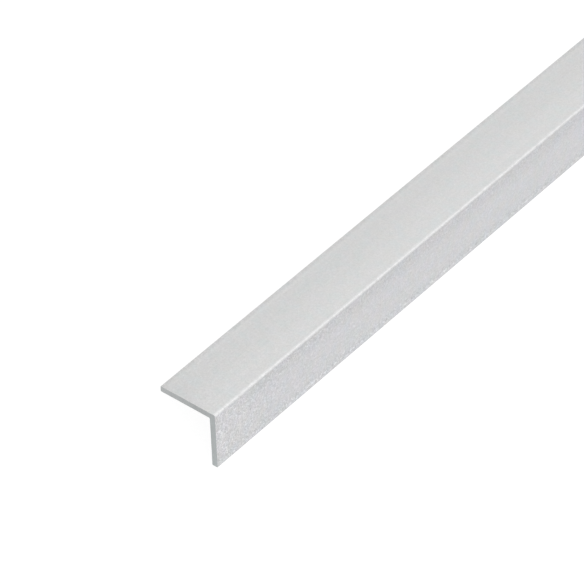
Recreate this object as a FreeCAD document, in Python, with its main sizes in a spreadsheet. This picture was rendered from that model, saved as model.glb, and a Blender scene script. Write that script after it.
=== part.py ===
import FreeCAD, Part
import math
import os

import Sketcher
from FreeCAD import Placement, Rotation, Vector

# Equal-leg aluminium angle, extruded, mill finish: one bar of stock, one solid.
# Millimetres, +Z up, the bar's length along Y. The bar lies as it would on a
# floor with nothing holding it: roofwise on its two toes, heel uppermost, with
# the 90 degree corner opening downwards. Origin: on the floor, under the heel,
# half way along the bar.

doc = FreeCAD.newDocument("angle_section")

# ---------------------------------------------------------------- dimensions
sheet = doc.addObject("Spreadsheet::Sheet", "Dims")
DIMS = [
    # alias, value, what it is
    ("leg_width", 20.0, "outer width of each leg, heel to toe"),
    ("wall", 2.0, "thickness of both legs"),
    ("bar_length", 1000.0, "length of the cut bar"),
    ("heel_radius", 0.5, "outer corner where the legs meet"),
    ("root_radius", 0.4, "inner corner where the legs meet"),
    ("toe_radius", 0.3, "the two corners along each leg's free edge"),
    ("lay_angle", 45.0, "degrees each leg slopes when the bar rests on its toes"),
]
for row, (alias, value, note) in enumerate(DIMS, start=1):
    sheet.set("A%d" % row, note)
    sheet.set("B%d" % row, repr(value))
    sheet.setAlias("B%d" % row, alias)
doc.recompute()

# --------------------------------------------------------------------- body
body = doc.addObject("PartDesign::Body", "AngleSection")
body.Label = "angle_section"


def origin_plane(owner, role):
    for feature in owner.Origin.OriginFeatures:
        if feature.Role == role:
            return feature
    raise RuntimeError("no origin plane " + role)


# The section, square to the body's own axes: heel at the origin, one leg
# running to -X, the other to -Z. Points go round the outline from the heel.
section = body.newObject("Sketcher::SketchObject", "Section")
section.AttachmentSupport = [(origin_plane(body, "XZ_Plane"), "")]
section.MapMode = "FlatFace"

leg = float(sheet.get("leg_width"))
wall = float(sheet.get("wall"))
outline = [
    Vector(0, 0, 0),
    Vector(-leg, 0, 0),
    Vector(-leg, -wall, 0),
    Vector(-wall, -wall, 0),
    Vector(-wall, -leg, 0),
    Vector(0, -leg, 0),
]
for start, end in zip(outline, outline[1:] + outline[:1]):
    section.addGeometry(Part.LineSegment(start, end), False)
TOP, TOE_A, UNDER, INSIDE, TOE_B, OUTSIDE = range(6)

for first in range(6):
    section.addConstraint(
        Sketcher.Constraint("Coincident", first, 2, (first + 1) % 6, 1)
    )
section.addConstraint(Sketcher.Constraint("Coincident", TOP, 1, -1, 1))
for line in (TOP, UNDER, TOE_B):
    section.addConstraint(Sketcher.Constraint("Horizontal", line))
for line in (TOE_A, INSIDE, OUTSIDE):
    section.addConstraint(Sketcher.Constraint("Vertical", line))


def driven(name, cell, kind, line, low_end, high_end):
    """A named length of the sketch, from a line's lower or left end to its
    other end, taken from a cell of the sheet."""
    size = float(sheet.get(cell))
    number = section.addConstraint(
        Sketcher.Constraint(kind, line, low_end, line, high_end, size)
    )
    section.renameConstraint(number, name)
    section.setExpression("Constraints." + name, "Dims." + cell)


driven("leg_across", "leg_width", "DistanceX", TOP, 2, 1)
driven("leg_down", "leg_width", "DistanceY", OUTSIDE, 1, 2)
driven("wall_across", "wall", "DistanceY", TOE_A, 2, 1)
driven("wall_down", "wall", "DistanceX", TOE_B, 1, 2)
doc.recompute()

bar = body.newObject("PartDesign::Pad", "Bar")
bar.Profile = section
bar.Midplane = True
bar.setExpression("Length", "Dims.bar_length")
doc.recompute()


def long_edges(shape, spots):
    """Names of the straight full-length edges at these (x, z) places."""
    names = []
    for number, edge in enumerate(shape.Edges, start=1):
        if len(edge.Vertexes) != 2 or edge.Length < 0.9 * shape.BoundBox.YLength:
            continue
        at = edge.Vertexes[0].Point
        if any(math.hypot(at.x - x, at.z - z) < 0.01 for x, z in spots):
            names.append("Edge%d" % number)
    if len(names) != len(spots):
        raise RuntimeError("expected %d edges, found %s" % (len(spots), names))
    return names


def rounded(name, base, spots, cell):
    """Rounds the long edges at these places with the radius in a cell."""
    fillet = body.newObject("PartDesign::Fillet", name)
    fillet.Base = (base, long_edges(base.Shape, spots))
    fillet.Radius = float(sheet.get(cell))
    fillet.setExpression("Radius", "Dims." + cell)
    doc.recompute()
    return fillet


heel = rounded("Heel", bar, [(0, 0)], "heel_radius")
root = rounded("Root", heel, [(-wall, -wall)], "root_radius")
toes = rounded(
    "Toes",
    root,
    [(-leg, 0), (-leg, -wall), (-wall, -leg), (0, -leg)],
    "toe_radius",
)
body.Tip = toes

# Laid on its toes: turned about the bar's length so that both legs slope down
# from the heel, and lifted until the rounded inner edge of each toe is at Z=0.
body.Placement = Placement(Vector(0, 0, 0), Rotation(Vector(0, -1, 0), 45))
body.setExpression("Placement.Rotation.Angle", "Dims.lay_angle * 1deg")
body.setExpression(
    "Placement.Base.z",
    "((Dims.leg_width - Dims.toe_radius) * sin(Dims.lay_angle * 1deg)"
    " + (Dims.wall - Dims.toe_radius) * cos(Dims.lay_angle * 1deg)"
    " + Dims.toe_radius) * 1mm",
)
doc.recompute()

# ------------------------------------------------------------------- checks
for obj in doc.Objects:
    bad = [state for state in obj.State if state in ("Invalid", "Error")]
    if bad:
        raise RuntimeError("%s is %s" % (obj.Name, bad))

pieces = [body]
os.makedirs("parts", exist_ok=True)
for piece in pieces:
    shape = piece.Shape
    if shape.isNull() or not shape.isValid() or len(shape.Solids) != 1:
        raise RuntimeError(piece.Label + " is not one valid solid")
    box = shape.BoundBox
    print(
        "%s: X %.3f..%.3f  Y %.1f..%.1f  Z %.4f..%.3f  section %.3f mm2  %d faces"
        % (
            piece.Label,
            box.XMin,
            box.XMax,
            box.YMin,
            box.YMax,
            box.ZMin,
            box.ZMax,
            shape.Volume / box.YLength,
            len(shape.Faces),
        )
    )
    shape.exportStep(os.path.join("parts", piece.Label + ".step"))
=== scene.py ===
import math
import random

import bmesh
import bpy
from mathutils import Matrix, Vector


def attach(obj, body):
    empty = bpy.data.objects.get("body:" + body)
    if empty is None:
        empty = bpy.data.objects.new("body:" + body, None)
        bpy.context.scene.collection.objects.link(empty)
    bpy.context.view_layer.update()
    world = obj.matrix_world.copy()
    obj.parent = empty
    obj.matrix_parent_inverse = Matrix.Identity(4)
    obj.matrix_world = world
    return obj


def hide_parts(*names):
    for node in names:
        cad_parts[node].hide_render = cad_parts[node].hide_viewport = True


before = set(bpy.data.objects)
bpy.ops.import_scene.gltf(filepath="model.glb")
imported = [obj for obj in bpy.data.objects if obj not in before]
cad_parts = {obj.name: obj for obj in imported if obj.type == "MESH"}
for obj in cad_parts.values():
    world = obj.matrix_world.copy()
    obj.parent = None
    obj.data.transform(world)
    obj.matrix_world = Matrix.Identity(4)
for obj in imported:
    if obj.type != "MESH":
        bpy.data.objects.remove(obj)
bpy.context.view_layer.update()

MM = 0.001
ROOT2 = math.sqrt(2)

# ---------------------------------------------------------------------------
# The bar's section, in millimetres. Section axes: heel at (0, 0), leg a to -x,
# leg b to -z. It is then laid roofwise on its toes, as the CAD bar lies.
LEG, WALL = 20.0, 2.0
HEEL_R, ROOT_R, TOE_R = 0.5, 0.4, 0.3
HALF = 500.0
LIFT = (LEG - TOE_R + WALL - TOE_R) / ROOT2 + TOE_R
ARC, TOE_ARC = 14, 6          # segments in the heel and root arcs, and in a toe corner
SUPPORT = 0.05                # a loop this close to each arc keeps the flats flat
STEPS = 26                    # strips across each leg, which carry the die lines
DIE_LINE = 0.0035             # mm, how deep the die lines are at most

rng = random.Random(20)


def arc(cx, cz, r, a0, a1, n, concave=False):
    """Points of an arc and the surface normal there. Angles in degrees."""
    out = []
    for i in range(n + 1):
        a = math.radians(a0 + (a1 - a0) * i / n)
        d = Vector((math.cos(a), math.sin(a)))
        out.append((Vector((cx, cz)) + d * r, -d if concave else d))
    return out


def flat(p, q, normal):
    """Points strictly between two ends of a flat, with faint die lines: ridges
    and grooves that the die leaves along the whole bar."""
    p, q, normal = Vector(p), Vector(q), Vector(normal)
    run = (q - p).length
    along = (q - p) / run
    spots = [SUPPORT] + [run * i / STEPS for i in range(1, STEPS)] + [run - SUPPORT]
    out = []
    for i, s in enumerate(spots):
        if 0 < i < len(spots) - 1:
            s += rng.uniform(-0.25, 0.25) * run / STEPS
        edge = min(1.0, min(s, run - s) / 1.2)
        depth = DIE_LINE * rng.uniform(-1.0, 0.0) * edge
        out.append((p + along * s + normal * depth, normal))
    return out


def halves():
    """Outer and inner halves of the outline, from the middle of toe a to the
    middle of toe b, with the same number of points."""
    outer = [(Vector((-LEG, -WALL / 2)), Vector((-1, 0)))]
    outer += [(Vector((-LEG, -TOE_R - SUPPORT)), Vector((-1, 0)))]
    outer += arc(-LEG + TOE_R, -TOE_R, TOE_R, 180, 90, TOE_ARC)
    outer += flat((-LEG + TOE_R, 0), (-HEEL_R, 0), (0, 1))
    outer += arc(-HEEL_R, -HEEL_R, HEEL_R, 90, 0, ARC)
    outer += flat((0, -HEEL_R), (0, -LEG + TOE_R), (1, 0))
    outer += arc(-TOE_R, -LEG + TOE_R, TOE_R, 0, -90, TOE_ARC)
    outer += [(Vector((-TOE_R - SUPPORT, -LEG)), Vector((0, -1)))]
    outer += [(Vector((-WALL / 2, -LEG)), Vector((0, -1)))]

    inner = [(Vector((-LEG, -WALL / 2)), Vector((-1, 0)))]
    inner += [(Vector((-LEG, -WALL + TOE_R + SUPPORT)), Vector((-1, 0)))]
    inner += arc(-LEG + TOE_R, -WALL + TOE_R, TOE_R, 180, 270, TOE_ARC)
    inner += flat((-LEG + TOE_R, -WALL), (-WALL - ROOT_R, -WALL), (0, -1))
    inner += arc(-WALL - ROOT_R, -WALL - ROOT_R, ROOT_R, 90, 0, ARC, concave=True)
    inner += flat((-WALL, -WALL - ROOT_R), (-WALL, -LEG + TOE_R), (-1, 0))
    inner += arc(-WALL + TOE_R, -LEG + TOE_R, TOE_R, 180, 270, TOE_ARC)
    inner += [(Vector((-WALL + TOE_R + SUPPORT, -LEG)), Vector((0, -1)))]
    inner += [(Vector((-WALL / 2, -LEG)), Vector((0, -1)))]
    assert len(outer) == len(inner)
    return outer, inner


def lay(p, y):
    """A point of the section at this place along the bar, in the row's frame."""
    return Vector(((p.x - p.y) / ROOT2, y, (p.x + p.y) / ROOT2 + LIFT)) * MM


outer, inner = halves()
M = len(outer)
loop = outer + inner[-2:0:-1]         # once round the outline; inner half reversed
N = len(loop)

# ---------------------------------------------------------------------------
# The bar: rings along its length, a worn round on each sawn edge, and end caps.
EDGE = 0.05                           # mm, how far the deburred edge is rounded
ROUND = 3
SPANS = 80
stations = []                         # (distance from the end, inset)
for k in range(ROUND + 1):
    a = math.radians(90 * k / ROUND)
    stations.append((EDGE * (1 - math.cos(a)), EDGE * (1 - math.sin(a))))
stations += [(EDGE + 0.04, 0.0), (1.0, 0.0)]
ys = [-HALF + d for d, _ in stations] + [-HALF + 2 * HALF * i / SPANS for i in range(1, SPANS)]
ys += [HALF - d for d, _ in reversed(stations)]
insets = [i for _, i in stations] + [0.0] * (SPANS - 1) + [i for _, i in reversed(stations)]

bm = bmesh.new()


def filed(i, end):
    """How much the hand-deburred edge varies round the outline, 0.75 to 1.25."""
    x = 2 * math.pi * i / N
    return 1 + 0.13 * math.sin(7 * x + end) + 0.12 * math.sin(17 * x + 2.1 * end)


rings = []
for y, inset in zip(ys, insets):
    end = 1.0 if y > 0 else 0.0
    ring = []
    for i, (p, n) in enumerate(loop):
        grow = filed(i, end) if inset > 0 else 1.0
        ring.append(bm.verts.new(lay(p - n * inset * grow, y)))
    rings.append(ring)

uv = bm.loops.layers.uv.new("OFBake")

# Lengths round the outline, for the surface map.
around = [0.0]
for i in range(N):
    around.append(around[-1] + (loop[(i + 1) % N][0] - loop[i][0]).length)
GIRTH = around[-1]
BANDS, GAP = 4, 1.2
V_SCALE = 1.0 / (BANDS * (GIRTH + GAP))
U_LONG = 0.865                        # share of the map's width for the long bands


def band_uv(y, s, band):
    span = 2 * HALF / BANDS
    u = (y + HALF - band * span) / span
    return (0.002 + u * (U_LONG - 0.004), (band * (GIRTH + GAP) + 0.5 * GAP + s) * V_SCALE)


for r in range(len(rings) - 1):
    mid = (ys[r] + ys[r + 1]) / 2
    band = min(BANDS - 1, int((mid + HALF) / (2 * HALF / BANDS)))
    for i in range(N):
        j = (i + 1) % N
        f = bm.faces.new((rings[r][i], rings[r][j], rings[r + 1][j], rings[r + 1][i]))
        f.smooth = True
        f.material_index = 0
        for corner, (yy, s) in zip(
            f.loops,
            ((ys[r], around[i]), (ys[r], around[i + 1]), (ys[r + 1], around[i + 1]), (ys[r + 1], around[i])),
        ):
            corner[uv].uv = band_uv(yy, s, band)

# Caps: the outer half of the outline is bridged to the inner half across the
# wall, in strips fine enough to carry the saw's marks.
ACROSS = 8
BLADE = (96.0, 92.0)                  # mm, the blade's centre from the bar's, X and Z


def kerf(x, z, end):
    """Depth of the blade's marks here, 0 to 0.012 mm."""
    r = math.hypot(x - BLADE[0], z - BLADE[1])
    wave = 0.5 + 0.25 * math.sin(r * 5.1 + end) + 0.25 * math.sin(r * 2.3 + 0.6 * math.sin(r * 0.9))
    return 0.012 * wave


def cap_face(corners, end):
    f = bm.faces.new(corners)
    f.smooth = True
    f.material_index = 1
    for corner in f.loops:
        # section coordinates again, from the row's frame
        x, z = corner.vert.co.x / MM, corner.vert.co.z / MM - LIFT
        sx, sz = (x + z) / ROOT2, (z - x) / ROOT2
        u = U_LONG + 0.004 + (1 - U_LONG - 0.008) * (1 + sx / LEG)
        v = 0.02 + end * 0.25 + 0.135 * (1 + sz / LEG)
        corner[uv].uv = (u, v)


def bridge(one, two, end):
    """Triangles between two rows with different numbers of points."""
    far = []
    for row in (one, two):
        steps = [0.0]
        for p, q in zip(row, row[1:]):
            steps.append(steps[-1] + (q.co - p.co).length)
        far.append([d / steps[-1] for d in steps] + [2.0])
    i = j = 0
    while i < len(one) - 1 or j < len(two) - 1:
        if far[0][i + 1] < far[1][j + 1]:
            cap_face((one[i], one[i + 1], two[j]), end)
            i += 1
        else:
            cap_face((one[i], two[j + 1], two[j]), end)
            j += 1


def cap(ring, end):
    """The sawn face at one end. A ring's point k of the outer half faces point
    N - k of the inner half across the wall. The first and last rows are the
    toes' own edges, as far as half way round their corners."""
    inward = 1.0 if end == 0 else -1.0
    first = 2 + TOE_ARC // 2
    toe_a = [ring[k % N] for k in range(first, -first - 1, -1)]
    toe_b = [ring[k] for k in range(M - 1 - first, M + first)]
    rows = []
    for k in range(first + 1, M - 1 - first):
        a, b = ring[k], ring[N - k]
        row = [a]
        for c in range(1, ACROSS):
            co = a.co.lerp(b.co, c / ACROSS)
            co.y += inward * kerf(co.x / MM, co.z / MM, end) * MM
            row.append(bm.verts.new(co))
        row.append(b)
        rows.append(row)
    bridge(toe_a, rows[0], end)
    for a, b in zip(rows, rows[1:]):
        for c in range(ACROSS):
            cap_face((a[c], a[c + 1], b[c + 1], b[c]), end)
    bridge(rows[-1], toe_b, end)


cap(rings[0], 0)
cap(rings[-1], 1)
bmesh.ops.recalc_face_normals(bm, faces=bm.faces)
mesh = bpy.data.meshes.new("angle_bar")
bm.to_mesh(mesh)
bm.free()
bar = bpy.data.objects.new("angle_bar", mesh)
bpy.context.scene.collection.objects.link(bar)

# ---------------------------------------------------------------------------
# Materials


class Nodes:
    """Short names for building a node tree."""

    def __init__(self, tree):
        self.nodes = tree.nodes
        self.links = tree.links

    def put(self, socket, x):
        if isinstance(x, bpy.types.NodeSocket):
            self.links.new(x, socket)
        else:
            socket.default_value = x

    def math(self, op, a, b=None, c=None, clamp=False):
        n = self.nodes.new("ShaderNodeMath")
        n.operation, n.use_clamp = op, clamp
        for i, x in enumerate((a, b, c)):
            if x is not None:
                self.put(n.inputs[i], x)
        return n.outputs[0]

    def vector(self, op, a, b, out=0):
        n = self.nodes.new("ShaderNodeVectorMath")
        n.operation = op
        self.put(n.inputs[0], a)
        self.put(n.inputs[1], b)
        return n.outputs[out]

    def ramp(self, value, lo, hi, out_lo=0.0, out_hi=1.0, smooth=True):
        n = self.nodes.new("ShaderNodeMapRange")
        n.interpolation_type = "SMOOTHSTEP" if smooth else "LINEAR"
        for name, x in (("Value", value), ("From Min", lo), ("From Max", hi), ("To Min", out_lo), ("To Max", out_hi)):
            self.put(n.inputs[name], x)
        return n.outputs["Result"]

    def mix(self, factor, a, b):
        n = self.nodes.new("ShaderNodeMix")
        n.data_type = "RGBA"
        self.put(n.inputs[0], factor)
        self.put(n.inputs[6], a)
        self.put(n.inputs[7], b)
        return n.outputs[2]

    def blend(self, factor, a, b):
        """A number between two others."""
        return self.math("MULTIPLY_ADD", self.math("SUBTRACT", b, a), factor, a)

    def line(self, value, at, half):
        """1 on a line where the value is this, falling to 0 this far from it."""
        return self.ramp(self.math("ABSOLUTE", self.math("SUBTRACT", value, at)), 0.0, half, 1.0, 0.0)

    def product(self, first, *others):
        for x in others:
            first = self.math("MULTIPLY", first, x)
        return first

    def noise(self, vector, scale, detail=0.0, rough=0.5):
        """Noise about 0, roughly -0.5 to 0.5."""
        n = self.nodes.new("ShaderNodeTexNoise")
        n.noise_dimensions = "3D"
        self.links.new(vector, n.inputs["Vector"])
        n.inputs["Scale"].default_value = scale
        n.inputs["Detail"].default_value = detail
        n.inputs["Roughness"].default_value = rough
        return self.math("SUBTRACT", n.outputs["Fac"], 0.5)

    def scaled(self, vector, scale, offset=(0, 0, 0)):
        n = self.nodes.new("ShaderNodeMapping")
        self.links.new(vector, n.inputs["Vector"])
        n.inputs["Scale"].default_value = scale
        n.inputs["Location"].default_value = offset
        return n.outputs["Vector"]

    def grey(self, value):
        n = self.nodes.new("ShaderNodeCombineXYZ")
        for i in range(3):
            self.links.new(value, n.inputs[i])
        return n.outputs[0]

    def split(self, vector):
        n = self.nodes.new("ShaderNodeSeparateXYZ")
        self.links.new(vector, n.inputs[0])
        return n.outputs[0], n.outputs[1], n.outputs[2]

    def millimetres(self):
        return self.scaled(self.nodes.new("ShaderNodeTexCoord").outputs["Object"], (1000.0, 1000.0, 1000.0))


def material(name):
    m = bpy.data.materials.new(name)
    m.use_nodes = True
    m.node_tree.nodes.clear()
    k = Nodes(m.node_tree)
    out = k.nodes.new("ShaderNodeOutputMaterial")
    bsdf = k.nodes.new("ShaderNodeBsdfPrincipled")
    bsdf.inputs["Metallic"].default_value = 1.0
    k.links.new(bsdf.outputs[0], out.inputs["Surface"])
    return m, k, bsdf


def bump(k, bsdf, height, distance, strength):
    n = k.nodes.new("ShaderNodeBump")
    n.inputs["Strength"].default_value = strength
    n.inputs["Distance"].default_value = distance
    k.links.new(height, n.inputs["Height"])
    k.links.new(n.outputs["Normal"], bsdf.inputs["Normal"])


def mill_finish():
    """Extruded aluminium as it leaves the press: a matt grain, finer on leg a
    than on leg b, faint lines drawn along the bar by the die, and a heel
    polished by handling. Over it, painted light: a painted highlight along
    the heel, painted shade beside it and along toe a, leg a painted paler
    towards the heel, and leg b painted darker."""
    m, k, bsdf = material("mill_finish_aluminium")
    mm = k.millimetres()
    x, y, z = k.split(mm)
    zz = k.math("SUBTRACT", z, LIFT)
    on_a = k.math("MULTIPLY", k.math("ADD", x, zz), 1 / ROOT2)          # 0 at the heel, -20 at toe a
    on_b = k.math("MULTIPLY", k.math("SUBTRACT", zz, x), 1 / ROOT2)     # 0 at the heel, -20 at toe b
    leg_b = k.ramp(x, -0.15, 0.15)

    from_end = k.math("SUBTRACT", HALF, k.math("ABSOLUTE", y))
    by_end = k.math("EXPONENT", k.math("MULTIPLY", from_end, -1 / 38.0))
    at_end = k.ramp(from_end, 9.0, 19.0, 1.0, 0.0)

    # Leg a: painted shading, a little paler towards the heel, with painted shade
    # in a darker rim at its toe and a pale line inside that.
    tone_a = k.product(
        k.ramp(on_a, -15.5, -2.5, 0.981, 1.0435),
        k.ramp(on_a, -19.15, -18.35, 0.950, 1.0),
        k.math("MULTIPLY_ADD", k.line(on_a, -17.9, 0.8), 0.018, 1.0),
        k.math("MULTIPLY_ADD", by_end, -0.022, 1.004),
        k.ramp(from_end, 0.0, 8.0, 0.988, 1.0),
        k.ramp(from_end, 20.0, 150.0, 1.0, 1.014, smooth=False))
    # Leg b: a broad darker band under the heel, painted shade, which fades at the
    # sawn ends, a darker line and rim at its toe, and a darker rim beside the cut
    # with a pale strip next to it.
    band = k.math("MULTIPLY", k.ramp(on_b, -8.5, -1.5, 0.0, -0.067), k.math("MULTIPLY_ADD", at_end, -0.6, 1.0))
    tone_b = k.product(
        k.math("ADD", band, 1.003),
        k.ramp(on_b, -20.0, -19.3, 0.94, 1.0),
        k.math("MULTIPLY_ADD", k.line(on_b, -17.4, 1.0), -0.032, 1.0),
        k.math("MULTIPLY_ADD", at_end, 0.014, 1.0),
        k.ramp(from_end, 2.0, 5.0, 1.022, 1.0),
        k.ramp(from_end, 0.7, 1.6, 0.950, 1.0))
    # Painted highlight: the heel is painted paler on both legs, with a fine
    # painted shade line below it on leg b.
    tone_b = k.math("MULTIPLY", tone_b, k.math("MULTIPLY_ADD", k.line(on_b, -1.12, 0.50), -0.024, 1.0))
    tone_a = k.blend(k.ramp(on_a, -0.95, -0.62), tone_a, 1.14)
    tone_b = k.blend(k.ramp(on_b, -0.95, -0.38), tone_b, 1.09)
    tone = k.blend(leg_b, tone_a, tone_b)

    # Grain, from the size of a sand grain up to cloudy patches.
    g1 = k.noise(mm, 2.6)
    g2 = k.noise(mm, 1.3)
    g3 = k.noise(mm, 0.65)
    g4 = k.noise(mm, 0.32, detail=1.0)
    g0 = k.noise(mm, 7.0, detail=1.0)
    grain = k.math("MULTIPLY", g0, 0.22)
    grain = k.math("MULTIPLY_ADD", g1, 0.33, grain)
    grain = k.math("MULTIPLY_ADD", g2, 0.22, grain)
    grain = k.math("MULTIPLY_ADD", g3, 0.12, grain)
    grain = k.math("MULTIPLY_ADD", g4, 0.07, grain)
    # It shows more in the last few centimetres before each sawn end. Elsewhere
    # it shows more beside leg b's heel and along its toe than between them. It
    # is half worn off where the heel is polished.
    away = k.ramp(from_end, 12.0, 34.0)
    by_edge = k.math("ADD", k.ramp(on_b, -7.0, -2.0, 0.86, 1.38), k.ramp(on_b, -17.0, -16.0, 0.55, 0.0))
    by_edge = k.math("MULTIPLY", k.blend(away, 1.0, by_edge), k.ramp(on_b, -1.5, -0.7, 1.0, 0.55))
    strength = k.blend(
        leg_b,
        k.math("MULTIPLY", k.math("MULTIPLY_ADD", by_end, 0.147, 0.40), k.ramp(on_a, -19.3, -18.6, 1.8, 1.0)),
        k.math("MULTIPLY", k.math("MULTIPLY_ADD", by_end, 1.15, 0.90), by_edge))
    grain = k.math("MULTIPLY", grain, strength)
    # Bright and dark specks in a line just inside toe b; the brightest are raised
    # further as painted glints.
    specks = k.noise(k.scaled(mm, (1.0, 0.8, 1.0)), 0.9, detail=1.0)
    specks = k.math("MULTIPLY_ADD", specks, 0.66, k.ramp(specks, 0.03, 0.25, -0.01, 0.06))
    specks = k.product(specks, k.line(on_b, -18.4, 0.9), k.math("MULTIPLY_ADD", away, 0.65, 0.35))

    # Lines along the bar: soft streaks, and fine scratches from the die.
    drawn = k.noise(k.scaled(mm, (1.0, 0.012, 1.0)), 1.25, detail=2.0, rough=0.6)
    fine = k.noise(k.scaled(mm, (1.0, 0.005, 1.0)), 8.0, detail=2.0, rough=0.65)
    slow = k.noise(k.scaled(mm, (1.0, 0.3, 1.0)), 0.06, detail=1.0)

    # The bright grains stand out a little more than the dark ones.
    lit = k.math("MULTIPLY", grain, k.math("MULTIPLY_ADD", grain, 0.9, 1.0))
    tone = k.math("MULTIPLY", tone, k.math("ADD", k.math("ADD", lit, specks), 1.0))
    tone = k.math("MULTIPLY", tone, k.math("MULTIPLY_ADD", drawn, 0.048, 1.0))
    tone = k.math("MULTIPLY", tone, k.math("MULTIPLY_ADD", fine, 0.10, 1.0))
    tone = k.math("MULTIPLY", tone, k.math("MULTIPLY_ADD", slow, 0.020, 1.0))
    # Small bright and dull spots along the heel.
    heel = k.math("MULTIPLY", k.ramp(on_a, -1.0, -0.3), k.ramp(on_b, -1.0, -0.3))
    beads = k.noise(k.scaled(mm, (0.5, 1.0, 0.5)), 0.4, detail=2.0, rough=0.6)
    tone = k.math("MULTIPLY", tone, k.math("MULTIPLY_ADD", k.math("MULTIPLY", beads, heel), 0.36, 1.0))

    # Hue: leg a is neutral with faint greenish patches, leg b faintly violet,
    # less so along its toe, and the heel is neutral. Leg b's colour is also a
    # little darker than leg a's: painted shade on that face.
    patches = k.noise(mm, 0.28, detail=2.0)
    others = k.noise(k.scaled(mm, (1, 1, 1), (40, 0, 0)), 0.28, detail=2.0)
    cool = k.ramp(others, -0.25, 0.25)
    tint_a = k.mix(k.ramp(patches, -0.24, 0.10), (0.6322, 0.6535, 0.6530, 1), (0.6562, 0.6535, 0.6524, 1))
    tint_a = k.vector("MULTIPLY", tint_a, k.mix(cool, (1, 1, 0.989, 1), (1, 1, 1.011, 1)))
    tint_b_painted_shade = k.mix(k.ramp(patches, -0.25, 0.20), (0.5947, 0.6113, 0.6243, 1), (0.6193, 0.6113, 0.6236, 1))
    tint_b_painted_shade = k.vector("MULTIPLY", tint_b_painted_shade, k.mix(cool, (1, 1, 0.975, 1), (1, 1, 1.025, 1)))
    tint_b_painted_shade = k.vector("MULTIPLY", tint_b_painted_shade, k.mix(k.ramp(on_b, -17.5, -14.5), (0.994, 1, 1, 1), (1.003, 1, 1, 1)))
    tint = k.mix(leg_b, tint_a, tint_b_painted_shade)
    tint = k.mix(heel, tint, (0.6330, 0.6345, 0.6350, 1))
    k.links.new(k.vector("MULTIPLY", tint, k.grey(tone)), bsdf.inputs["Base Color"])

    rough = k.math("MULTIPLY_ADD", g3, 0.10, 0.40)
    rough = k.math("MULTIPLY_ADD", drawn, 0.05, rough)
    rough = k.math("MULTIPLY_ADD", fine, 0.12, rough)
    rough = k.math("MULTIPLY_ADD", grain, 0.35, rough)
    rough = k.math("MULTIPLY_ADD", heel, -0.05, rough)
    k.links.new(rough, bsdf.inputs["Roughness"])

    height = k.math("MULTIPLY_ADD", drawn, 0.35, k.math("MULTIPLY", grain, 3.0))
    height = k.math("MULTIPLY_ADD", fine, 0.22, height)
    height = k.math("ADD", height, specks)
    bump(k, bsdf, height, 0.00003, 0.6)
    return m


def saw_cut():
    """The sawn ends: darker and duller, with the blade's fine arcs."""
    m, k, bsdf = material("saw_cut_aluminium")
    mm = k.millimetres()
    x, y, z = k.split(k.vector("SUBTRACT", mm, (BLADE[0], 0.0, BLADE[1])))
    radius = k.math("SQRT", k.math("ADD", k.math("MULTIPLY", x, x), k.math("MULTIPLY", z, z)))
    line = k.nodes.new("ShaderNodeCombineXYZ")
    k.links.new(radius, line.inputs[0])
    marks = k.noise(line.outputs[0], 2.2, detail=4.0, rough=0.7)
    fine = k.noise(mm, 4.0, detail=2.0, rough=0.6)
    cloud = k.noise(mm, 0.35, detail=1.0)
    tone = k.math("MULTIPLY_ADD", marks, 0.42, 1.0)
    tone = k.math("MULTIPLY_ADD", fine, 0.14, tone)
    tone = k.math("MULTIPLY_ADD", cloud, 0.16, tone)
    # The cut is palest at both toes, and dullest by the heel on leg a.
    x, _, z = k.split(mm)
    zz = k.math("SUBTRACT", z, LIFT)
    on_a = k.math("MULTIPLY", k.math("ADD", x, zz), 1 / ROOT2)
    on_b = k.math("MULTIPLY", k.math("SUBTRACT", zz, x), 1 / ROOT2)
    tone = k.product(
        tone,
        k.ramp(on_a, -20.0, -9.0, 1.05, 1.01),
        k.math("ADD", k.ramp(on_a, -9.5, -7.8, 0.0, -0.055), k.ramp(on_a, -7.8, 0.0, 1.0, 1.045)),
        k.ramp(on_b, -20.0, -2.5, 1.04, 0.985))
    tint = k.mix(k.ramp(x, -1.0, 1.0), (0.4190, 0.4318, 0.4335, 1), (0.4066, 0.4312, 0.4329, 1))
    k.links.new(k.vector("MULTIPLY", tint, k.grey(tone)), bsdf.inputs["Base Color"])
    k.links.new(k.math("MULTIPLY_ADD", marks, 0.2, 0.46), bsdf.inputs["Roughness"])
    bump(k, bsdf, k.math("MULTIPLY_ADD", fine, 0.35, marks), 0.00005, 0.8)
    return m


mesh.materials.append(mill_finish())
mesh.materials.append(saw_cut())

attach(bar, "root")
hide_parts("angle_section")

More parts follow.
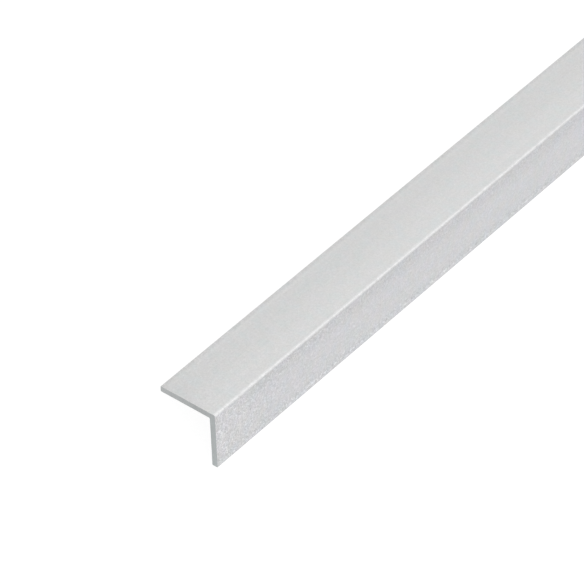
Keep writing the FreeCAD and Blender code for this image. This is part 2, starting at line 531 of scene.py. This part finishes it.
# ---------------------------------------------------------------------------
# A pale floor, lit from within like a light table
floor_mesh = bpy.data.meshes.new("floor")
S = 60.0
floor_mesh.from_pydata([(-S, -S, 0), (S, -S, 0), (S, S, 0), (-S, S, 0)], [], [(0, 1, 2, 3)])
floor = bpy.data.objects.new("floor", floor_mesh)
bpy.context.scene.collection.objects.link(floor)
fm = bpy.data.materials.new("pale_floor")
fm.use_nodes = True
b = fm.node_tree.nodes["Principled BSDF"]
b.inputs["Base Color"].default_value = (0.22, 0.22, 0.22, 1)
b.inputs["Roughness"].default_value = 0.9
b.inputs["Specular IOR Level"].default_value = 0.0
b.inputs["Emission Color"].default_value = (1, 1, 1, 1)
b.inputs["Emission Strength"].default_value = 0.88
floor_mesh.materials.append(fm)

# Soft light all round: white at the horizon, dimmer above it, and one long
# strip light across the bar, high behind it.
world = bpy.data.worlds.new("studio")
bpy.context.scene.world = world
world.use_nodes = True
world.node_tree.nodes.clear()
w = Nodes(world.node_tree)
out = w.nodes.new("ShaderNodeOutputWorld")
back = w.nodes.new("ShaderNodeBackground")
back.inputs["Color"].default_value = (1, 1, 1, 1)
w.links.new(back.outputs[0], out.inputs["Surface"])
way = w.nodes.new("ShaderNodeTexCoord").outputs["Generated"]
_, _, up = w.split(way)
sky = w.ramp(up, 0.07, 0.20, 1.06, 0.74)
STRIP_Y, STRIP_Z = 0.57, 0.82
towards = w.vector("DOT_PRODUCT", way, (0.0, STRIP_Y, STRIP_Z), out=1)
aside = w.math("ABSOLUTE", w.vector("DOT_PRODUCT", way, (0.0, STRIP_Z, -STRIP_Y), out=1))
strip = w.math("MULTIPLY", w.ramp(aside, 0.16, 0.36, 1.0, 0.0), w.ramp(towards, 0.25, 0.5))
light = w.math("MULTIPLY_ADD", strip, 0.62, sky)
w.links.new(light, back.inputs["Strength"])

# ---------------------------------------------------------------------------
cam_data = bpy.data.cameras.new("camera")
cam = bpy.data.objects.new("camera", cam_data)
bpy.context.scene.collection.objects.link(cam)
right = Vector((0.565758, 0.635278, 0.525679))
upward = Vector((-0.815571, 0.525058, 0.243225))
behind = Vector((-0.121497, -0.566335, 0.815171))
turn = Matrix((right, upward, behind)).transposed()
cam.matrix_world = Matrix.Translation(Vector((-0.154732, -1.115454, 0.966411))) @ turn.to_4x4()
cam_data.sensor_width = 36.0
cam_data.lens = 253.995
cam_data.clip_start, cam_data.clip_end = 0.05, 200.0
bpy.context.scene.camera = cam

bpy.context.scene.view_settings.view_transform = "Standard"
bpy.context.scene.view_settings.look = "None"
